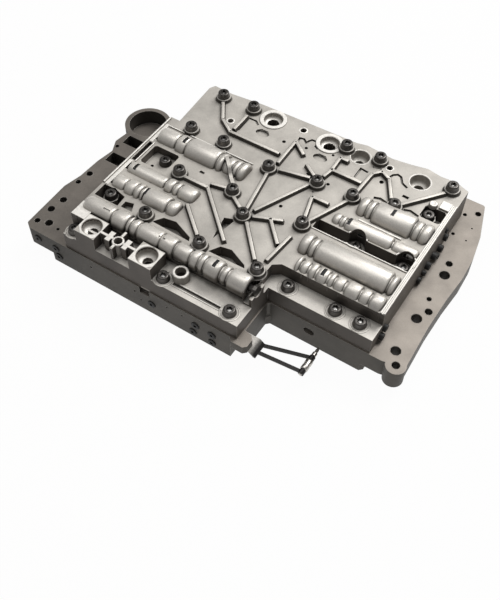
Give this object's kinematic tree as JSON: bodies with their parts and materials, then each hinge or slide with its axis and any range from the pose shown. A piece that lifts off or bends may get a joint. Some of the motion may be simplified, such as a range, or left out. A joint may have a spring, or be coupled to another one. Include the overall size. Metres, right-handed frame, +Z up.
{
  "type": "transmission valve body",
  "caption": "Hydraulic control valve body of an automatic transmission: ribbed upper casting with spring-loaded spool valves, separator plate, flanged base casting and detent roller spring.",
  "frame": {"origin": "on the case face, the underside of the base casting, at the middle of the casting's footprint", "axes": "+X along the long side from the suction port to the wide flange, +Y away from the front edge with the selector notch, +Z up from the case face to the ribbed deck"},
  "size_m": [0.3765, 0.2587, 0.0724],
  "materials": {
    "deck_aluminium": "machined and bead-blasted casting",
    "base_aluminium": "as cast, darker",
    "plate_steel": "rolled sheet",
    "bolt_steel": "black oxide",
    "turned_steel": "turned and ground",
    "bright_steel": "ground",
    "leaf_steel": "blued spring steel",
    "black_plug": "black oxide"
  },
  "bodies": {
    "casing": {"base_casting": "base_aluminium", "separator_plate": "plate_steel", "valve_housing": "deck_aluminium", "deck_bolts": "bolt_steel", "ledge_bolts": "bolt_steel", "well_bolts": "bolt_steel", "end_plugs": "turned_steel", "keeper_plates": "plate_steel", "front_plugs": "black_plug", "side_plugs": "black_plug", "detent_spring": "leaf_steel", "detent_bolt": "bolt_steel", "regulator_spring": "leaf_steel", "relay_spring": "leaf_steel", "shift_spring": "leaf_steel", "damper_spring": "leaf_steel", "lockup_spring": "leaf_steel", "accumulator_spring": "leaf_steel", "pressure_spring": "leaf_steel"},
    "regulator": {"regulator_valve": "turned_steel"},
    "relay": {"relay_valve": "turned_steel"},
    "shift": {"shift_valve": "turned_steel"},
    "damper": {"damper_valve": "turned_steel"},
    "lockup": {"lockup_valve": "turned_steel"},
    "accumulator": {"accumulator_valve": "turned_steel"},
    "pressure": {"pressure_valve": "turned_steel"},
    "manual": {"manual_valve": "turned_steel"},
    "detent": {"detent_pin": "bright_steel"},
    "roller": {"detent_roller": "bright_steel"}
  },
  "joints": [
    {"name": "regulator_slide", "type": "slide", "parent": "casing", "child": "regulator", "axis": [-1, 0, 0], "range_m": [0, 0.009], "stiffness_N_per_m": 800, "springref_m": -0.004, "deforming": ["regulator_spring"]},
    {"name": "relay_slide", "type": "slide", "parent": "casing", "child": "relay", "axis": [-1, 0, 0], "range_m": [0, 0.007], "stiffness_N_per_m": 800, "springref_m": -0.004, "deforming": ["relay_spring"]},
    {"name": "shift_slide", "type": "slide", "parent": "casing", "child": "shift", "axis": [-1, 0, 0], "range_m": [0, 0.004], "stiffness_N_per_m": 800, "springref_m": -0.004, "deforming": ["shift_spring"]},
    {"name": "damper_slide", "type": "slide", "parent": "casing", "child": "damper", "axis": [1, 0, 0], "range_m": [0, 0.004], "stiffness_N_per_m": 800, "springref_m": -0.004, "deforming": ["damper_spring"]},
    {"name": "lockup_slide", "type": "slide", "parent": "casing", "child": "lockup", "axis": [1, 0, 0], "range_m": [0, 0.006], "stiffness_N_per_m": 800, "springref_m": -0.004, "deforming": ["lockup_spring"]},
    {"name": "accumulator_slide", "type": "slide", "parent": "casing", "child": "accumulator", "axis": [1, 0, 0], "range_m": [0, 0.012], "stiffness_N_per_m": 800, "springref_m": -0.004, "deforming": ["accumulator_spring"]},
    {"name": "pressure_slide", "type": "slide", "parent": "casing", "child": "pressure", "axis": [1, 0, 0], "range_m": [0, 0.006], "stiffness_N_per_m": 800, "springref_m": -0.004, "deforming": ["pressure_spring"]},
    {"name": "manual_slide", "type": "slide", "parent": "casing", "child": "manual", "axis": [1, 0, 0], "range_m": [0, 0.016]},
    {"name": "detent_flex", "type": "hinge", "parent": "casing", "child": "detent", "pos_m": [0.0692, -0.1, 0.0185], "axis": [0, 1, 0], "range_deg": [-1, 5], "stiffness_Nm_per_rad": 5, "deforming": ["detent_spring"]},
    {"name": "roller_spin", "type": "hinge", "parent": "detent", "child": "roller", "pos_m": [0.114, -0.11, 0.0164], "axis": [0, 1, 0], "continuous": true}
  ]
}
